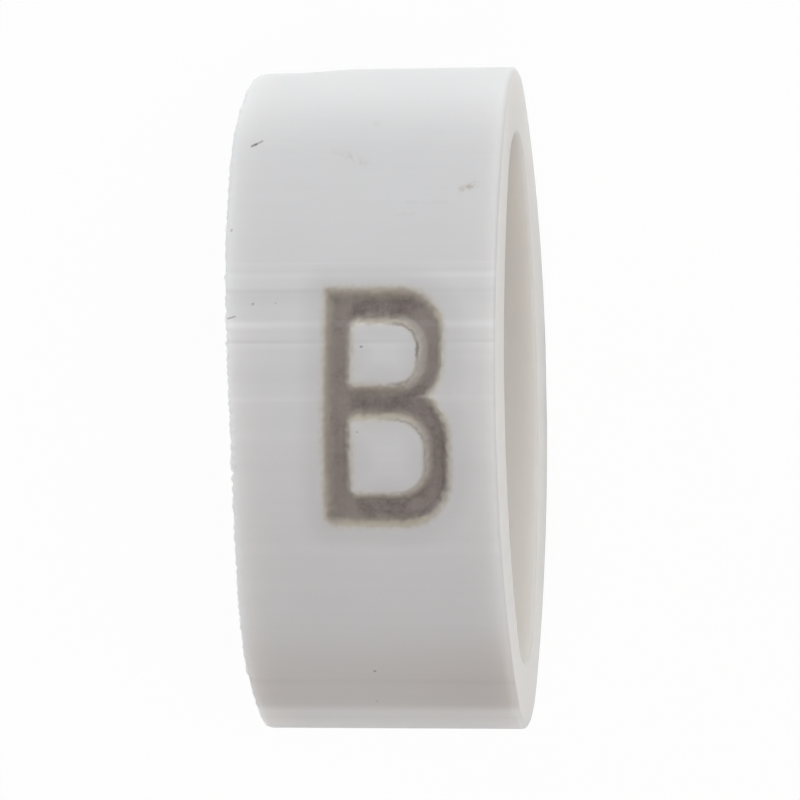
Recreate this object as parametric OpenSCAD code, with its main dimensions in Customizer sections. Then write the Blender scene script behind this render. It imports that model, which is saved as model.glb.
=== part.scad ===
// Oval slide-on cable marker: one band of soft white PVC, extruded as a closed oval tube and cut
// square to length. It is pushed over a cable's end and grips by being squeezed round.
// X runs along the cable, Y along the oval's long axis and Z out of the printed face. Lying on its
// back, the band has its printed face up. The origin is the middle of the bore. Sizes are in mm.

/* [Band] */
// Length of the band along the cable
band_length = 3.1; // [2:0.1:8]
// Height of the oval outside, tip to tip
band_height = 7.5; // [6.5:0.1:12]
// Depth of the oval outside, from the printed face to the back
band_depth = 3.9; // [3.4:0.1:5.2]
// Thickness of the wall at the tips, the printed face and the back
wall = 0.75; // [0.5:0.05:0.95]

/* [Oval] */
// Radius of the tips outside
outer_tip_radius = 0.9; // [0.6:0.05:1.4]
// Radius of the tips of the bore
bore_tip_radius = 0.6; // [0.3:0.05:0.7]

/* [Back] */
// Width of the slight flat on the back, on which the soft band lies still
back_flat = 1; // [0.6:0.1:2]

/* [Cut ends] */
// Round on the outer edge of the left end, where the blade went in and pressed the wall down
left_edge_round = 0.22; // [0.04:0.01:0.3]
// Round on the outer edge of the right end and on the edges of both mouths of the bore
edge_round = 0.04; // [0.02:0.01:0.1]

/* [Hidden] */
$fn = 144;
pvc_white = [0.84, 0.84, 0.85];
half_length = band_length / 2;
bore_height = band_height - 2 * wall;
bore_depth = band_depth - 2 * wall;
// How far the bore's cutting solid stands out of both ends
bore_overrun = edge_round;

// Radius of the long arcs of an oval of four tangent arcs, from its half sizes and its tip radius
function side_radius(half_h, half_d, tip) =
    (half_h * half_h + half_d * half_d - 2 * half_h * tip) / (2 * (half_d - tip));

// Half of the band's outer section beside the axis of an arc: its two outer corners are rounded
module band_profile(radius) {
    translate([0, left_edge_round - half_length])
        square([radius, band_length - left_edge_round - edge_round]);
    end_profile(radius, edge_round);
    mirror([0, 1])
        end_profile(radius, left_edge_round);
}

// Half of that section from its middle to one end, inside the round of its corner
module end_profile(radius, corner) {
    square([radius - corner, half_length]);
    translate([radius - corner, half_length - corner])
        circle(corner);
}

// Half of the bore's section beside the axis of an arc: both mouths flare over a rounded edge
module bore_profile(radius) {
    translate([0, -half_length - bore_overrun])
        square([radius, band_length + 2 * bore_overrun]);
    for (end = [0, 1])
        mirror([0, end])
            difference() {
                translate([0, half_length - edge_round])
                    square([radius + edge_round, edge_round + bore_overrun]);
                translate([radius + edge_round, half_length - edge_round])
                    circle(edge_round);
            }
}

// One arc of an oval, turned about its own axis
module turned_arc(radius, is_bore) {
    rotate_extrude()
        if (is_bore)
            bore_profile(radius);
        else
            band_profile(radius);
}

// A prism past both ends of the band, over an outline in the section's plane
module sector(outline) {
    sector_length = band_length + 4 * bore_overrun;
    linear_extrude(sector_length, center = true)
        polygon(outline);
}

// Where a flat of the given width lies on an arc, measured from the arc's own axis
function flat_distance(radius, width) = sqrt(radius * radius - width * width / 4);

// A closed oval of four tangent arcs, standing on the section's plane. The tips are whole discs. Each
// long arc ends where it meets a tip, on the normal that the two share through the tip's centre, and
// laps past the middle into the other long arc.
module oval(height, depth, tip, is_bore) {
    half_h = height / 2;
    half_d = depth / 2;
    side = side_radius(half_h, half_d, tip);
    side_centre = side - half_d;
    tip_centre = half_h - tip;
    lap = tip / 2;
    reach = height;
    normal_x = side_centre / (side - tip) * reach;
    normal_y = tip_centre / (side - tip) * reach;
    for (face = [0, 1])
        mirror([face, 0, 0])
            intersection() {
                translate([-side_centre, 0, 0])
                    turned_arc(side, is_bore);
                sector([[-lap, -tip_centre], [0, -tip_centre], [normal_x, -tip_centre - normal_y],
                        [normal_x, tip_centre + normal_y], [0, tip_centre], [-lap, tip_centre]]);
            }
    for (end = [0, 1])
        mirror([0, end, 0])
            translate([0, tip_centre, 0])
                turned_arc(tip, is_bore);
}

// All that lies behind the flat on the back
module behind_flat() {
    side = side_radius(band_height / 2, band_depth / 2, outer_tip_radius);
    side_centre = side - band_depth / 2;
    flat_x = flat_distance(side, back_flat) - side_centre;
    translate([flat_x, -band_height / 2, -band_length])
        cube([band_depth, band_height, 2 * band_length]);
}

// The whole marker: an oval tube with a smooth bore
module marker_band() {
    color(pvc_white)
        rotate([0, 90, 0])
            difference() {
                oval(band_height, band_depth, outer_tip_radius, false);
                oval(bore_height, bore_depth, bore_tip_radius, true);
                behind_flat();
            }
}

marker_band();
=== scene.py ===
"""An oval slide-on cable marker of soft white PVC, lying on its back with its printed face up."""
import math

import bmesh
import bpy
from mathutils import Matrix, Vector, noise


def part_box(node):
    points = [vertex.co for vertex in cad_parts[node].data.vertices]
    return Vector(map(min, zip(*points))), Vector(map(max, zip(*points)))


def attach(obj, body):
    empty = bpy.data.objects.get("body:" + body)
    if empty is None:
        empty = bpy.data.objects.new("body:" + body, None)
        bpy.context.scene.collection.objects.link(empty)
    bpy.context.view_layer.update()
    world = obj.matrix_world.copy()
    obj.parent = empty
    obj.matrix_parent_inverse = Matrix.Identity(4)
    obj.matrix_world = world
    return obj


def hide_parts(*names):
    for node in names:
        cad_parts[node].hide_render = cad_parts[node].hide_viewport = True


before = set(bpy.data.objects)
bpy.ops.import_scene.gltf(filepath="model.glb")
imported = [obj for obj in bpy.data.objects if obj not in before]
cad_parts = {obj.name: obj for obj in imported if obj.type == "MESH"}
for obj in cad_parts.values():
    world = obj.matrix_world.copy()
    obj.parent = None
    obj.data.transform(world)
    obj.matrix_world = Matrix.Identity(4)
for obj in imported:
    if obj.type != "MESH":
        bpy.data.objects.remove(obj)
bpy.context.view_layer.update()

# Camera. It looks down on the band through a long lens, from a little to the right of the printed
# face and a little above its middle, and it is rolled slightly.
photo_side_px = 800
focal_px = 5680
band_left_of_middle_px = 13.5
camera_distance = 0.0644
turn_right = math.radians(10.1)
turn_up = math.radians(5.43)
roll = math.radians(1.25)

towards_camera = Vector((
    math.sin(turn_right) * math.cos(turn_up),
    math.sin(turn_up),
    math.cos(turn_right) * math.cos(turn_up),
))
level_right = Vector((math.cos(turn_right), 0, -math.sin(turn_right)))
facing = Matrix((level_right, towards_camera.cross(level_right), towards_camera)).transposed()
facing = facing @ Matrix.Rotation(-roll, 3, "Z")
aside = facing.col[0] * (band_left_of_middle_px / focal_px * camera_distance)
camera_data = bpy.data.cameras.new("camera")
camera_data.lens = focal_px / photo_side_px * camera_data.sensor_width
camera_data.clip_start = camera_distance / 10
camera = bpy.data.objects.new("camera", camera_data)
camera.matrix_world = Matrix.Translation(towards_camera * camera_distance + aside) @ facing.to_4x4()
bpy.context.scene.collection.objects.link(camera)
bpy.context.scene.camera = camera

# Marker band. A short length of tube that was extruded through an oval die in soft white PVC and cut
# off with a blade. It is one piece with a smooth bore, and the blade has rounded the edges of both ends.
mm = 0.001
band_low, band_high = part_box("marker_band")
half_length, half_height, half_depth = band_high
back_flat_z = band_low.z
wall = 0.75 * mm
outer_tip_radius = 0.9 * mm
bore_tip_radius = 0.6 * mm


def oval_arcs(height, depth, tip):
    """From half sizes: a long arc's radius and centre, a tip's centre, and half a long arc's angle."""
    side = (height ** 2 + depth ** 2 - 2 * height * tip) / (2 * (depth - tip))
    side_centre = side - depth
    tip_centre = height - tip
    return side, side_centre, tip_centre, math.atan2(tip_centre, side_centre)


fine_share = 0.40
fine_steps, shoulder_steps, tip_steps, back_steps = 112, 48, 34, 84


def oval_loop(mesh, height, depth, tip):
    """A closed outline of four tangent arcs at the left end, drawn by turning a point round each arc."""
    side_centre, tip_centre, side_angle = oval_arcs(height, depth, tip)[1:]
    tip_angle = math.pi - 2 * side_angle
    fine_arc = (0, -side_centre, side_angle * fine_share, fine_steps)
    shoulder_arc = (0, -side_centre, side_angle * (1 - fine_share), shoulder_steps)
    arcs = [
        fine_arc,
        shoulder_arc,
        (tip_centre, 0, tip_angle, tip_steps),
        (0, side_centre, 2 * side_angle, back_steps),
        (-tip_centre, 0, tip_angle, tip_steps),
        shoulder_arc,
        fine_arc,
    ]
    known = set(mesh.edges)
    start = mesh.verts.new((-half_length, 0, depth))
    point = start
    for centre_y, centre_z, angle, steps in arcs:
        centre = (-half_length, centre_y, centre_z)
        turned = bmesh.ops.spin(mesh, geom=[point], cent=centre, axis=(1, 0, 0), angle=-angle, steps=steps)
        point = turned["geom_last"][0]
    bmesh.ops.weld_verts(mesh, targetmap={point: start})
    return [edge for edge in mesh.edges if edge not in known]


def draw_out(mesh, outline, runs):
    """Draws an outline along the band, in runs of a length and its steps. Returns the far outline."""
    for length, steps in runs:
        step = (length / steps, 0, 0)
        drawn = bmesh.ops.spin(
            mesh, geom=outline, cent=(0, 0, 0), axis=(1, 0, 0), dvec=step, angle=0, steps=steps)
        outline = [item for item in drawn["geom_last"] if isinstance(item, bmesh.types.BMEdge)]
    return outline


legend_left, legend_right = -0.386 * mm, 1.055 * mm
legend_bottom, legend_top = -1.235 * mm, 1.42 * mm
legend_margin = 0.1 * mm
rim_run = 0.25 * mm
fine_left = legend_left - legend_margin
fine_right = legend_right + legend_margin
left_steps, legend_steps, right_steps, bore_steps = 11, 108, 3, 16
end_face_cuts = 5
rim_segments = 5

band_mesh = bmesh.new()
outer_left = oval_loop(band_mesh, half_height, half_depth, outer_tip_radius)
outer_right = draw_out(band_mesh, outer_left, [
    (rim_run, 1),
    (fine_left + half_length - rim_run, left_steps),
    (fine_right - fine_left, legend_steps),
    (half_length - rim_run - fine_right, right_steps),
    (rim_run, 1),
])
outer_skin = set(band_mesh.faces)
for vert in band_mesh.verts:
    vert.co.z = max(vert.co.z, back_flat_z)
bore_left = oval_loop(band_mesh, half_height - wall, half_depth - wall, bore_tip_radius)
bore_right = draw_out(band_mesh, bore_left, [
    (rim_run, 1),
    (2 * (half_length - rim_run), bore_steps),
    (rim_run, 1),
])
bore_skin = [face for face in band_mesh.faces if face not in outer_skin]
bmesh.ops.reverse_faces(band_mesh, faces=bore_skin)
for outer_rim, bore_rim in ((outer_left, bore_left), (outer_right, bore_right)):
    end_face = bmesh.ops.bridge_loops(band_mesh, edges=outer_rim + bore_rim)
    bmesh.ops.subdivide_edges(band_mesh, edges=end_face["edges"], cuts=end_face_cuts, use_grid_fill=True)
bmesh.ops.recalc_face_normals(band_mesh, faces=band_mesh.faces)

rim_rounds = [
    (outer_left, 0.22 * mm),
    (outer_right, 0.05 * mm),
    (bore_left, 0.05 * mm),
    (bore_right, 0.04 * mm),
]
for rim, rounding in rim_rounds:
    bmesh.ops.bevel(
        band_mesh, geom=rim, offset=rounding, offset_type="OFFSET", segments=rim_segments, profile=0.5,
        affect="EDGES", material=-1, clamp_overlap=True)


def smooth_step(value):
    """Rises smoothly from 0 to 1 as the value does."""
    held = min(max(value, 0), 1)
    return held * held * (3 - 2 * held)


# The blade pressed the soft wall down at the left end, most of all at the upper tip, and came out at the
# lower one, where the edge is crisper. It left the end slightly hollow and ragged.
hollow_least, hollow_depth = 0.03 * mm, 0.085 * mm
hollow_middle, hollow_span = -0.45 * mm, 3.2 * mm
upper_hollow, upper_hollow_from = 0.065 * mm, 3.0 * mm
lower_hollow, lower_hollow_from = 0.085 * mm, 2.7 * mm
upper_sag, sag_from, sag_run = 0.033 * mm, 1.3 * mm, 0.7 * mm
cut_reach = 0.5 * mm
press_down, press_reach = 0.02 * mm, 0.5 * mm
crisp_share = 0.6
notch_size, notch_depth = 0.06 * mm, 0.026 * mm


def below_oval(point, height, depth, tip):
    """How far a point of the band's section lies inside such an oval, and the way out to the oval."""
    side, side_centre, tip_centre = oval_arcs(height, depth, tip)[:3]
    past_tip = abs(point.y) - tip_centre
    if past_tip * side_centre > abs(point.z) * tip_centre:
        spoke = Vector((0, math.copysign(past_tip, point.y), point.z))
        return tip - spoke.length, spoke.normalized()
    spoke = Vector((0, point.y, point.z + math.copysign(side_centre, point.z)))
    return side - spoke.length, spoke.normalized()


depth_layer = band_mesh.verts.layers.float.new("depth_mm")
bore_layer = band_mesh.verts.layers.float.new("from_bore_mm")
for vert in band_mesh.verts:
    depth, way_out = below_oval(vert.co, half_height, half_depth, outer_tip_radius)
    inside_bore = below_oval(vert.co, half_height - wall, half_depth - wall, bore_tip_radius)[0]
    vert[depth_layer] = depth / mm
    vert[bore_layer] = -inside_bore / mm
    from_cut = vert.co.x + half_length
    near_cut = max(0, 1 - from_cut / press_reach)
    upper_share = smooth_step((vert.co.y - upper_hollow_from) / (half_height - upper_hollow_from))
    lower_share = smooth_step((-vert.co.y - lower_hollow_from) / (half_height - lower_hollow_from))
    at_cut = smooth_step(1 - from_cut / cut_reach)
    pressed = press_down * near_cut ** 2 * (1 - lower_share) - depth * crisp_share * lower_share * at_cut
    pressed += upper_sag * upper_share * smooth_step((sag_from - from_cut) / sag_run)
    vert.co -= way_out * pressed * max(0, 1 - depth / wall)
    middle_share = math.cos(math.pi / 2 * (vert.co.y - hollow_middle) / hollow_span) ** 2
    notch = noise.noise(Vector((0, vert.co.y, vert.co.z)) / notch_size) * notch_depth
    tip_hollow = upper_hollow * upper_share + lower_hollow * lower_share
    vert.co.x += (hollow_least + hollow_depth * middle_share + tip_hollow + notch) * at_cut

# Legend. One plain letter, hot-stamped: a heated type presses grey-brown ink about a tenth of a
# millimetre into the soft face, so that the letter has a mottled floor and drafted walls.
press_depth = 0.10 * mm
press_draft = 0.12 * mm
stem_right = -0.043 * mm
legend_lean = 0.02
legend_reach = 0.4 * mm
ragged_size, ragged_width = 0.06 * mm, 0.014 * mm
floor_grain, floor_grain_depth = 0.06 * mm, 0.006 * mm


def rounded_plate(x, y, left, right, bottom, top, radii):
    """Distance from a plate's edge, below 0 inside. The radii are of the lower left corner and on round."""
    lower_left, lower_right, upper_right, upper_left = radii
    across = x - (left + right) / 2
    along = y - (bottom + top) / 2
    if across > 0:
        radius = upper_right if along > 0 else lower_right
    else:
        radius = upper_left if along > 0 else lower_left
    beyond_x = abs(across) - (right - left) / 2 + radius
    beyond_y = abs(along) - (top - bottom) / 2 + radius
    outside = math.hypot(max(beyond_x, 0), max(beyond_y, 0))
    return outside + min(max(beyond_x, beyond_y), 0) - radius


def legend_edges(x, y):
    """Distances from the letter's edge, below 0 in its strokes, and from its counters, below 0 in them."""
    ragged = noise.noise(Vector((x, y, 0)) / ragged_size) * ragged_width
    x -= legend_lean * y
    upper_bowl = rounded_plate(
        x, y, legend_left, 0.98 * mm, 0, legend_top, (0, 0.60 * mm, 0.50 * mm, 0.04 * mm))
    lower_bowl = rounded_plate(
        x, y, legend_left, legend_right, legend_bottom, 0.50 * mm, (0.15 * mm, 0.55 * mm, 0.82 * mm, 0))
    upper_counter = rounded_plate(
        x, y, stem_right, 0.680 * mm, 0.362 * mm, 1.02 * mm, (0.05 * mm, 0.24 * mm, 0.26 * mm, 0.07 * mm))
    lower_counter = rounded_plate(
        x, y, stem_right, 0.770 * mm, -0.85 * mm, -0.035 * mm, (0.06 * mm, 0.3 * mm, 0.32 * mm, 0.07 * mm))
    counter = min(upper_counter, lower_counter)
    return max(min(upper_bowl, lower_bowl), -counter) + ragged, counter + ragged


edge_layer = band_mesh.verts.layers.float.new("legend_edge_mm")
counter_layer = band_mesh.verts.layers.float.new("counter_edge_mm")
band_mesh.normal_update()
for vert in band_mesh.verts:
    vert[edge_layer] = vert[counter_layer] = legend_reach / mm
    if vert.co.z > half_depth - wall / 2 and abs(vert.co.x) < half_length - rim_run:
        from_letter, from_counter = legend_edges(vert.co.x, vert.co.y)
        vert[edge_layer] = min(legend_reach, from_letter) / mm
        vert[counter_layer] = min(legend_reach, from_counter) / mm
        sunk = smooth_step(-from_letter / press_draft)
        grain = noise.noise(vert.co / floor_grain) * floor_grain_depth
        vert.co -= vert.normal * (press_depth + grain) * sunk

band_data = bpy.data.meshes.new("marker_band_skin")
band_mesh.to_mesh(band_data)
band_mesh.free()
band_data.shade_smooth()
band = bpy.data.objects.new("marker_band_skin", band_data)
bpy.context.scene.collection.objects.link(band)


class Shade:
    """A socket of a material's nodes. Arithmetic on it adds Math nodes, and node() adds any other."""

    def __init__(self, tree, socket=None):
        self.tree = tree
        self.socket = socket

    def node(self, kind, settings=None, inputs=None, output=0):
        made = self.tree.nodes.new(kind)
        for name, value in (settings or {}).items():
            setattr(made, name, value)
        for name, value in (inputs or {}).items():
            if isinstance(value, Shade):
                self.tree.links.new(value.socket, made.inputs[name])
            else:
                made.inputs[name].default_value = value
        return Shade(self.tree, made.outputs[output])

    def maths(self, operation, first, second=0.0):
        return self.node("ShaderNodeMath", {"operation": operation}, {0: first, 1: second})

    def vector(self, operation, first, second, output="Vector"):
        return self.node("ShaderNodeVectorMath", {"operation": operation}, {0: first, 1: second}, output)

    def ease(self, low, high, start=0.0, end=1.0):
        """Goes smoothly from start to end as the value goes from low to high."""
        ends = {"Value": self, "From Min": low, "From Max": high, "To Min": start, "To Max": end}
        return self.node("ShaderNodeMapRange", {"interpolation_type": "SMOOTHSTEP"}, ends)

    def fade(self, low, high, start=1.0):
        """Falls smoothly from start to 0 as the value goes from low to high."""
        return self.ease(low, high, start, 0.0)

    def mix(self, first, second):
        """A colour between two, with this value as the second one's share."""
        return self.node("ShaderNodeMix", {"data_type": "RGBA"}, {"Factor": self, 6: first, 7: second}, 2)

    def noise(self, scale, detail=2.0, roughness=0.5):
        sockets = {"Vector": self, "Scale": scale, "Detail": detail, "Roughness": roughness}
        return self.node("ShaderNodeTexNoise", {}, sockets, "Fac")

    def __add__(self, other):
        return self.maths("ADD", self, other)

    def __sub__(self, other):
        return self.maths("SUBTRACT", self, other)

    def __rsub__(self, other):
        return self.maths("SUBTRACT", other, self)

    def __mul__(self, other):
        return self.maths("MULTIPLY", self, other)

    def __abs__(self):
        return self.maths("ABSOLUTE", self)

    __radd__ = __add__
    __rmul__ = __mul__


pvc = bpy.data.materials.new("white_pvc")
pvc.use_nodes = True
pvc_tree = pvc.node_tree
skin = pvc_tree.nodes["Principled BSDF"]
paint = Shade(pvc_tree)
metres = paint.node("ShaderNodeTexCoord", output="Object")
place = metres.vector("MULTIPLY", metres, (1 / mm, 1 / mm, 1 / mm))
along_band = place.node("ShaderNodeSeparateXYZ", inputs={"Vector": place}, output="X")
up_letter = place.node("ShaderNodeSeparateXYZ", inputs={"Vector": place}, output="Y")
out_of_face = place.node("ShaderNodeSeparateXYZ", inputs={"Vector": place}, output="Z")
letter_edge = paint.node("ShaderNodeAttribute", {"attribute_name": "legend_edge_mm"}, output="Fac")
counter_edge = paint.node("ShaderNodeAttribute", {"attribute_name": "counter_edge_mm"}, output="Fac")
skin_depth = paint.node("ShaderNodeAttribute", {"attribute_name": "depth_mm"}, output="Fac")
from_bore = paint.node("ShaderNodeAttribute", {"attribute_name": "from_bore_mm"}, output="Fac")
under_skin = skin_depth.ease(0.03, 0.12)
in_bore = from_bore.fade(0.01, 0.05)
printed_side = out_of_face.ease(0.0, 0.5) * (1 - under_skin)

# The die left faint lines along the band: a height on the face, half a width, and how light each is.
die_lines = [
    (1.678, 0.025, 0.06),
    (1.606, 0.030, -0.04),
    (1.546, 0.055, 0.13),
    (1.385, 0.045, -0.12),
    (1.300, 0.130, -0.10),
    (1.015, 0.070, 0.26),
    (0.832, 0.032, -0.09),
    (0.798, 0.014, 0.08),
    (0.770, 0.050, 0.06),
    (0.470, 0.170, -0.055),
    (0.200, 0.060, 0.08),
    (-0.210, 0.100, 0.03),
    (-0.550, 0.120, -0.025),
    (-1.500, 0.100, 0.03),
    (-3.085, 0.060, -0.09),
    (-3.460, 0.030, 0.05),
    (-3.545, 0.032, -0.15),
]
drawn_place = place.vector("MULTIPLY", place, (0.04, 1.0, 1.0))
streaks = drawn_place.noise(9.0, 2.0, 0.7) - 0.5
clouding = place.noise(0.9, 2.0) - 0.5
line_fade = 0.55 + 0.6 * place.vector("MULTIPLY", place, (0.8, 4.0, 1.0)).noise(1.0).ease(0.3, 0.7)
lines = sum(abs(up_letter - height).fade(0.0, half_width, light) for height, half_width, light in die_lines)
tone = 0.5 + lines * line_fade + streaks * 0.08 + clouding * 0.1
dark_pvc, pale_pvc = (0.46, 0.457, 0.466, 1), (0.82, 0.818, 0.827, 1)
plastic = tone.mix(dark_pvc, pale_pvc)

# The wall is bent tightest at the tips, which are painted paler: painted light for the light that the
# floor bounces up and the thin wall lets through. On the printed side the lower shoulder is painted darker
# and browner, a painted shade where the face turns away from the light, ending at a crisp line above the
# lower tip. The cut ends are painted paler, a painted light on the end faces, and the bore is darker.
lower_shoulder_shade_brown, tip_light_white = (0.45, 0.395, 0.34, 1), (0.78, 0.778, 0.78, 1)
cut_end_light_white, bore_grey = (0.848, 0.832, 0.812, 1), (0.695, 0.674, 0.645, 1)
down_letter = 0 - up_letter
on_front = out_of_face.ease(-0.3, 0.05)
# Darker, browner lower shoulder on the printed side: painted shade where the face turns from the light.
lower_shoulder_shade = abs(up_letter + 3.2).fade(0.05, 1.0) * along_band.ease(-0.5, 1.3, 0.26, 0.40) * on_front
plastic = lower_shoulder_shade.mix(plastic, lower_shoulder_shade_brown)
# The tips are painted paler: painted light for light bounced from the floor and let through the thin wall.
crisp_tip_light = down_letter.ease(3.36, 3.48) * 0.6 + down_letter.ease(3.5, 3.75) * 0.4
soft_tip_light = down_letter.ease(2.8, 3.85)
tip_light = up_letter.ease(2.8, 3.85) + soft_tip_light + (crisp_tip_light - soft_tip_light) * on_front
plastic = tip_light.mix(plastic, tip_light_white)
# The cut ends are painted paler: painted light on the end faces.
plastic = under_skin.mix(plastic, cut_end_light_white)
plastic = in_bore.mix(plastic, bore_grey)

# The ink lies thick and mottled on the floor of the letter, thin and yellowish on the walls. The stem and
# the upright sides of the bowls are painted lighter and the bottom bar darker: painted light and shade,
# for the bars' walls shade their floors from the low light. The face round the letter is painted greyer,
# a painted shade deepest at the letter's edge. Lengths are in mm.
shade_round_letter_grey, stain_yellow = (0.40, 0.388, 0.392, 1), (0.49, 0.445, 0.365, 1)
wall_brown = (0.33, 0.293, 0.248, 1)
dark_ink, pale_ink = (0.135, 0.104, 0.096, 1), (0.275, 0.229, 0.213, 1)
blotch = place.noise(5.5, 3.0, 0.55) - 0.5
fleck = place.noise(24.0, 2.0, 0.6) - 0.5
ragged_edge = letter_edge + blotch * 0.04 + fleck * 0.03
lower_bowl_side = along_band.ease(0.45, 0.65) * down_letter.ease(-0.15, 0.15)
# The face round the letter is painted greyer: painted shade, deepest at the letter's edge.
shade_round_letter = letter_edge.fade(-0.05, 0.36, 0.34)
stain = ragged_edge.fade(-0.03, 0.07, 0.45)
wall_ink = (ragged_edge - lower_bowl_side * 0.02).fade(-0.06, 0.032, 0.8)
floor_ink = (ragged_edge - lower_bowl_side * 0.045).fade(-0.16, -0.04, 0.94)
# The stem and the upright sides of the bowls are painted lighter: painted light on floors open to the top
# light.
upright_stroke_light = along_band.fade(-0.1, 0.0) + along_band.ease(0.6, 0.8) * up_letter.ease(0.1, 0.4)
ink_mottle_and_light = 0.40 + blotch * 2.0 + fleck * 0.9 + upright_stroke_light * 0.62 + lower_bowl_side * 0.5
# The bottom bar is painted darker: painted shade cast by the bar's walls on its floor.
ink_mottle_and_light -= down_letter.ease(0.8, 1.0, 0.0, 0.1)
ink = ink_mottle_and_light.mix(dark_ink, pale_ink)
colour = shade_round_letter.mix(plastic, shade_round_letter_grey)
colour = stain.mix(colour, stain_yellow)
colour = wall_ink.mix(colour, wall_brown)
colour = floor_ink.mix(colour, ink)

# Die lines and one scratch show through the ink. The lips under the bars and the walls beside the
# counters are painted lighter, partly thin ink and partly painted light on walls that face the light, and a
# dark line on the rim at the right of each counter is partly ink and partly painted shadow of the rim.
worn_grey, lip_yellow = (0.36, 0.32, 0.305, 1), (0.43, 0.39, 0.32, 1)
bare_and_lit_grey, rim_ink_and_shadow_dark = (0.43, 0.388, 0.372, 1), (0.17, 0.155, 0.14, 1)
scratch_height = -0.487
lip_heights = (1.06, 0.01, -1.19)
scratch = abs(up_letter - scratch_height).fade(0.0, 0.02, 0.3)
worn_ink = (lines.ease(0.04, 0.2, 0.0, 0.45) + scratch) * floor_ink
colour = worn_ink.mix(colour, worn_grey)
bar_lips = sum(abs(up_letter - height).fade(0.06, 0.1) for height in lip_heights)
# The lips under the bars are painted lighter and yellowish: thin ink, and painted light on walls facing the
# light.
bare_and_lit_lip = abs(letter_edge + blotch * 0.03 + 0.035).fade(0.012, 0.04, 0.85) * bar_lips
bare_and_lit_lip *= along_band.ease(-0.3, -0.1)
colour = bare_and_lit_lip.mix(colour, lip_yellow)
counter_sides = along_band.fade(-0.1, 0.05, 0.5) + along_band.ease(0.42, 0.62)
wall_middle = 0.055 - lower_bowl_side * 0.02
# The walls beside the counters are painted lighter: thin ink, and painted light on walls facing the light.
bare_and_lit_wall = abs(counter_edge + blotch * 0.05 - wall_middle).fade(0.02, 0.065) * counter_sides
colour = (bare_and_lit_wall * up_letter.ease(-0.1, 0.4, 0.25, 0.70)).mix(colour, bare_and_lit_grey)
# A dark line on the right rim of each counter: ink, and painted shadow of the rim.
rim_ink_and_shadow = abs(counter_edge + fleck * 0.03).fade(0.004, 0.03) * along_band.ease(0.3, 0.5)
rim_ink_and_shadow *= up_letter.ease(0.4, 0.8, 0.25, 0.60) + blotch.ease(-0.1, 0.1, 0.0, 0.3)
colour = rim_ink_and_shadow.mix(colour, rim_ink_and_shadow_dark)


def near_line(flat_place, start, end, half_width, strength):
    """The strength on a short straight line on the face, falling to 0 at its half width, in mm."""
    begin = Vector((*start, 0))
    run = Vector((*end, 0)) - begin
    offset = flat_place.vector("SUBTRACT", flat_place, begin)
    share = offset.vector("DOT_PRODUCT", offset, run / run.length_squared, "Value")
    held_share = share.node("ShaderNodeClamp", inputs={"Value": share})
    nearest = share.node("ShaderNodeVectorMath", {"operation": "SCALE"}, {0: run, "Scale": held_share})
    away = offset.vector("DISTANCE", offset, nearest, "Value")
    return away.fade(0.0, half_width, strength)


# Dust: two fibres and a few specks. Each has its two ends on the face, half a width and how dark it is.
dust = [
    ((-1.272, 2.950), (-1.225, 2.972), 0.021, 0.80),
    ((-1.230, 2.966), (-1.157, 3.004), 0.017, 0.60),
    ((-1.441, 1.084), (-1.351, 1.110), 0.015, 0.60),
    ((-1.430, 2.040), (-1.425, 2.050), 0.020, 0.50),
    ((-1.157, 1.243), (-1.147, 1.247), 0.022, 0.50),
    ((-0.900, 1.253), (-0.890, 1.253), 0.016, 0.25),
    ((0.066, 0.773), (0.076, 0.773), 0.020, 0.75),
    ((0.006, -0.163), (0.022, -0.167), 0.014, 0.40),
    ((-0.016, -2.951), (-0.006, -2.951), 0.020, 0.70),
    ((-0.050, -3.333), (-0.040, -3.333), 0.020, 0.25),
]
# Smudges from handling, brown, soft and patchy, in the same form.
smudges = [
    ((1.138, 2.462), (1.291, 2.514), 0.055, 0.60),
    ((-0.330, 2.880), (-0.160, 2.840), 0.060, 0.10),
    ((-0.150, 2.830), (0.030, 2.760), 0.075, 0.20),
    ((0.110, 3.170), (0.140, 3.170), 0.060, 0.14),
    ((0.437, 2.200), (0.628, 2.205), 0.035, 0.10),
    ((0.530, 2.327), (0.990, 2.330), 0.035, 0.10),
]
smudge_brown, dust_grey = (0.36, 0.30, 0.22, 1), (0.12, 0.115, 0.12, 1)
flat_place = place.vector("MULTIPLY", place, (1.0, 1.0, 0.0))
patchy = (blotch + fleck).ease(-0.25, 0.2)
smudged = sum(near_line(flat_place, *smudge) for smudge in smudges) * patchy * printed_side
colour = smudged.mix(colour, smudge_brown)
dusty = sum(near_line(flat_place, *speck) for speck in dust) * printed_side
colour = dusty.mix(colour, dust_grey)

roughness = 0.58 + clouding * 0.12 + floor_ink * 0.1 + under_skin * 0.06
relief = lines * 2.0 + streaks * 0.5 + fleck * letter_edge.ease(-0.16, -0.04, 0.95, 0.15)
bump = paint.node("ShaderNodeBump", {}, {"Strength": 0.35, "Distance": 0.01 * mm, "Height": relief})

for socket_name, value in (("Base Color", colour), ("Roughness", roughness), ("Normal", bump)):
    pvc_tree.links.new(value.socket, skin.inputs[socket_name])
skin.inputs["Subsurface Weight"].default_value = 0.85
skin.inputs["Subsurface Radius"].default_value = (1.0, 0.9, 0.8)
skin.inputs["Subsurface Scale"].default_value = 0.6 * mm
skin.inputs["IOR"].default_value = 1.52
band_data.materials.append(pvc)
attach(band, "root")
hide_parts("marker_band")

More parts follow.
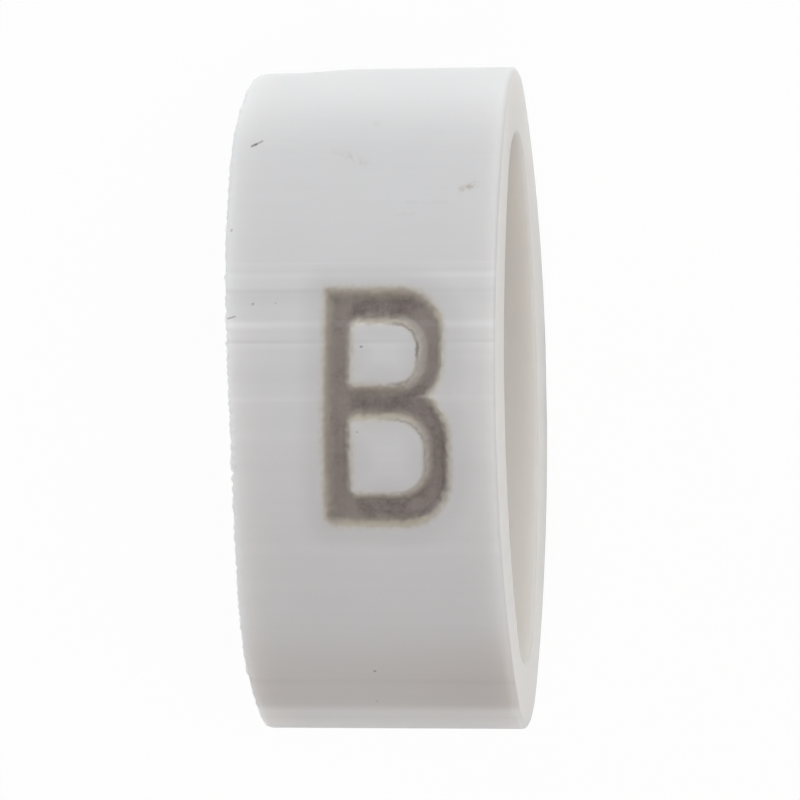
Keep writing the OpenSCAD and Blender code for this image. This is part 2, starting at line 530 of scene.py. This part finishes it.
# Floor. A plain white sheet lies under the band. Seen by itself it is lifted towards pure white, and
# the band's shadow stays on it.
floor_half_side = 0.5
floor_lift = 0.95
floor_mesh = bmesh.new()
bmesh.ops.create_grid(floor_mesh, x_segments=1, y_segments=1, size=floor_half_side)
bmesh.ops.translate(floor_mesh, verts=floor_mesh.verts, vec=(0, 0, back_flat_z))
floor_data = bpy.data.meshes.new("floor")
floor_mesh.to_mesh(floor_data)
floor_mesh.free()
floor = bpy.data.objects.new("floor", floor_data)
bpy.context.scene.collection.objects.link(floor)


def seen_directly(shade):
    """1 for rays that show the white background by itself: from the camera, a mirror or through glass."""
    path = shade.node("ShaderNodeLightPath").socket.node
    direct, mirrored, through = (
        Shade(shade.tree, path.outputs[f"Is {ray} Ray"]) for ray in ("Camera", "Glossy", "Transmission"))
    return direct.maths("MAXIMUM", direct, mirrored.maths("MAXIMUM", mirrored, through))


sheet = bpy.data.materials.new("white_sheet")
sheet.use_nodes = True
sheet_tree = sheet.node_tree
sheet_skin = sheet_tree.nodes["Principled BSDF"]
sheet_skin.inputs["Base Color"].default_value = (0.92, 0.92, 0.92, 1)
sheet_skin.inputs["Roughness"].default_value = 0.9
sheet_paint = Shade(sheet_tree)
white = sheet_paint.node("ShaderNodeEmission", {}, {"Color": (1, 1, 1, 1), "Strength": 1.0})
lifted = sheet_paint.node("ShaderNodeMixShader", {}, {
    "Fac": seen_directly(sheet_paint) * floor_lift,
    1: Shade(sheet_tree, sheet_skin.outputs["BSDF"]),
    2: white,
})
sheet_tree.links.new(lifted.socket, sheet_tree.nodes["Material Output"].inputs["Surface"])
floor_data.materials.append(sheet)

# Light. Broad soft lamps stand round the band: the strongest is low beyond the top of the letter, and
# the air above is dim. Each has a bearing from the letter's top, a height angle, a side, watts and a tint.
lamp_distance = 0.2
cool, warm, rosy = (0.94, 0.982, 1.0), (1.0, 0.975, 0.94), (1.0, 0.955, 0.95)
lamps = [
    ("top_lamp", 0, 8, 0.10, 0.146, cool),
    ("top_right_lamp", 45, 22, 0.12, 0.042, cool),
    ("right_lamp", 90, 35, 0.12, 0.044, warm),
    ("high_right_lamp", 90, 60, 0.12, 0.086, warm),
    ("near_lamp", 180, 60, 0.12, 0.098, rosy),
    ("left_lamp", -90, 10, 0.10, 0.130, cool),
    ("top_left_lamp", -45, 22, 0.12, 0.091, cool),
]
for name, bearing, height_angle, side, watts, lamp_colour in lamps:
    level = Matrix.Rotation(-math.radians(bearing), 3, "Z") @ Vector((0, 1, 0))
    spot = (level * math.cos(math.radians(height_angle))
            + Vector((0, 0, math.sin(math.radians(height_angle))))) * lamp_distance
    lamp_data = bpy.data.lights.new(name, "AREA")
    lamp_data.size = side
    lamp_data.energy = watts
    lamp_data.color = lamp_colour
    lamp = bpy.data.objects.new(name, lamp_data)
    lamp.matrix_world = Matrix.Translation(spot) @ spot.to_track_quat("Z", "Y").to_matrix().to_4x4()
    lamp.visible_camera = False
    bpy.context.scene.collection.objects.link(lamp)

air_strength = 0.194
world = bpy.data.worlds.new("studio")
bpy.context.scene.world = world
world.use_nodes = True
air = Shade(world.node_tree)
background = world.node_tree.nodes["Background"]
background.inputs["Color"].default_value = (1, 1, 1, 1)
shown_strength = air_strength + seen_directly(air) * (1 - air_strength)
world.node_tree.links.new(shown_strength.socket, background.inputs["Strength"])
bpy.context.scene.view_settings.view_transform = "Standard"
